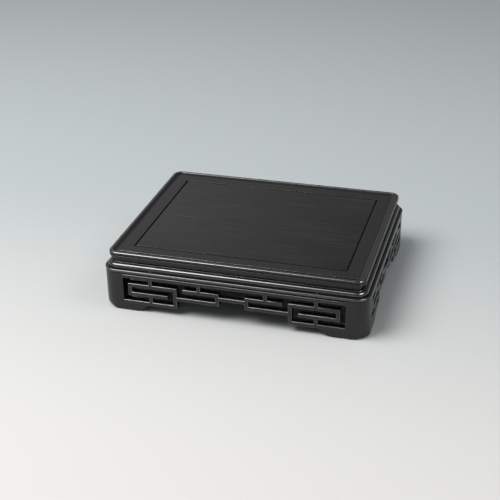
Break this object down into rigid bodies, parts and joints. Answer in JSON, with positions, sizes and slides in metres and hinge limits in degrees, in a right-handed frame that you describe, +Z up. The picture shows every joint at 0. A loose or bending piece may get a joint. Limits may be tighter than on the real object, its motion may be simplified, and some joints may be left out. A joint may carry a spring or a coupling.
{
  "type": "chinese hardwood stand",
  "caption": "Low rectangular dark hardwood display stand with a lipped framed panel top, recessed waist, moulded shoulder, pierced square-scroll fret aprons and rounded hoof feet.",
  "frame": {"origin": "centre of the stand's plan, on the floor", "axes": "+X along the length, +Y towards the back, +Z up"},
  "size_m": [0.2078, 0.1692, 0.047],
  "materials": {
    "frame_hardwood": "near-black dense hardwood, scraped smooth and waxed to a satin polish",
    "panel_hardwood": "near-black dense hardwood with a faint brown figure, waxed to a satin polish",
    "carved_hardwood": "near-black dense hardwood, carved, with polished arrises",
    "bamboo": "split bamboo, dry"
  },
  "bodies": {
    "root": {"top_panel": "panel_hardwood", "top_rail_front": "frame_hardwood", "top_rail_right": "frame_hardwood", "top_rail_back": "frame_hardwood", "top_rail_left": "frame_hardwood", "batten_left": "frame_hardwood", "batten_right": "frame_hardwood", "waist_front": "carved_hardwood", "waist_right": "carved_hardwood", "waist_back": "carved_hardwood", "waist_left": "carved_hardwood", "shoulder_front": "carved_hardwood", "shoulder_right": "carved_hardwood", "shoulder_back": "carved_hardwood", "shoulder_left": "carved_hardwood", "apron_front": "carved_hardwood", "apron_right": "carved_hardwood", "apron_back": "carved_hardwood", "apron_left": "carved_hardwood", "apron_pins": "bamboo", "leg_front_left": "carved_hardwood", "leg_front_right": "carved_hardwood", "leg_back_left": "carved_hardwood", "leg_back_right": "carved_hardwood"}
  },
  "joints": []
}
